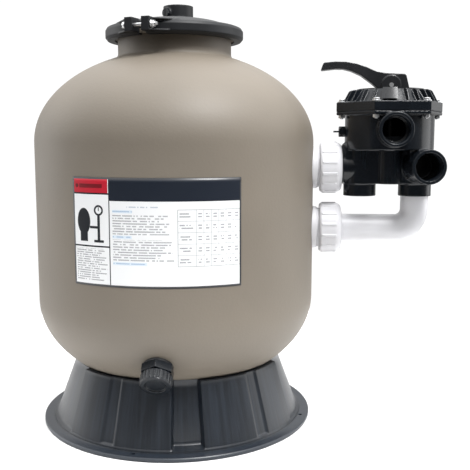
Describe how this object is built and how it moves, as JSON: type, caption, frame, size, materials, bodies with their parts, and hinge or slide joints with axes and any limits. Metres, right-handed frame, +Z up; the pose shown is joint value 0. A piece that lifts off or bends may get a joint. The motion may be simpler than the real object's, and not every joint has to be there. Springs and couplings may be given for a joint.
{
  "type": "sand filter tank",
  "caption": "Moulded filter tank on a fluted base, with a clamped lid, a drain and a side-mounted multiport valve on two unions.",
  "frame": {"origin": "on the tank's vertical axis in the floor plane, at the centre of the four floor-bolt holes", "axes": "+Z up along the tank; -Y towards the label and the drain; +X towards the unions and the multiport valve"},
  "size_m": [0.7441, 0.5245, 0.757],
  "materials": {
    "tank_taupe": "satin moulded shell",
    "label_print": "printed film",
    "clamp_grey": "satin moulded",
    "base_black": "satin gloss moulded",
    "valve_black": "satin gloss moulded",
    "handle_grey": "satin moulded",
    "pvc_white": "satin moulded",
    "rubber_black": "matte",
    "zinc_steel": "zinc plated"
  },
  "bodies": {
    "filter": {"base_skirt": "base_black", "tank_shell": "tank_taupe", "label": "label_print", "dome_lid": "clamp_grey", "lid_oring": "rubber_black", "clamp_half_right": "clamp_grey", "clamp_half_left": "clamp_grey", "clamp_bolts": "zinc_steel", "clamp_nuts": "zinc_steel", "clamp_washers": "zinc_steel", "bulkhead_upper": "pvc_white", "bulkhead_lower": "pvc_white", "bulkhead_gaskets": "rubber_black", "bulkhead_locknuts": "pvc_white", "union_orings": "rubber_black", "union_tail": "pvc_white", "elbow_pipe": "pvc_white", "valve_body": "valve_black", "valve_body_plug": "valve_black", "valve_lid": "valve_black", "valve_lid_oring": "rubber_black", "lid_screws": "zinc_steel", "lid_washers": "zinc_steel", "lid_nuts": "zinc_steel", "position_ring": "handle_grey", "spider_gasket": "rubber_black", "drain_fitting": "valve_black", "drain_gasket": "rubber_black", "drain_strainer": "valve_black", "drain_cap_oring": "rubber_black", "inlet_pipe": "pvc_white", "diffuser": "pvc_white", "outlet_pipe": "pvc_white", "lateral_hub": "pvc_white", "laterals": "pvc_white", "air_tube": "pvc_white"},
    "upper_nut": {"union_nut_upper": "pvc_white"},
    "lower_nut": {"union_nut_lower": "pvc_white"},
    "drain_cap": {"drain_cap": "valve_black"},
    "gauge_plug": {"gauge_port_plug": "valve_black"},
    "relief_screw": {"air_relief_screw": "valve_black"},
    "turn_group": {"slip_washer": "pvc_white"},
    "rotor_group": {"rotor": "valve_black", "handle_pin": "zinc_steel", "spring": "zinc_steel"},
    "handle": {"handle": "handle_grey"}
  },
  "joints": [
    {"name": "valve_turn", "type": "hinge", "parent": "filter", "child": "turn_group", "pos_m": [0.392, 0, 0.6], "axis": [0, 0, 1], "continuous": true},
    {"name": "rotor_lift", "type": "slide", "parent": "turn_group", "child": "rotor_group", "axis": [0, 0, 1], "range_m": [0, 0.005], "stiffness_N_per_m": 3000, "springref_m": -0.008, "deforming": ["spring"]},
    {"name": "handle_tilt", "type": "hinge", "parent": "rotor_group", "child": "handle", "pos_m": [0.392, 0, 0.615], "axis": [0, -1, 0], "range_deg": [0, 12]},
    {"name": "upper_nut_turn", "type": "hinge", "parent": "filter", "child": "upper_nut", "pos_m": [0.285, 0, 0.467], "axis": [1, 0, 0], "continuous": true},
    {"name": "lower_nut_turn", "type": "hinge", "parent": "filter", "child": "lower_nut", "pos_m": [0.285, 0, 0.356], "axis": [1, 0, 0], "continuous": true},
    {"name": "drain_cap_turn", "type": "hinge", "parent": "filter", "child": "drain_cap", "pos_m": [0, -0.2485, 0.13229], "axis": [0, -0.7782, -0.628], "continuous": true},
    {"name": "gauge_plug_turn", "type": "hinge", "parent": "filter", "child": "gauge_plug", "pos_m": [0.007, 0, 0.75], "axis": [0, 0, 1], "continuous": true},
    {"name": "relief_screw_turn", "type": "hinge", "parent": "filter", "child": "relief_screw", "pos_m": [-0.00839, -0.0197, 0.743], "axis": [-0.6157, -0.788, 0], "continuous": true}
  ],
  "couplings": [
    {"joint": "handle_tilt", "follows": "rotor_lift", "rad_per_m": 41.85}
  ]
}
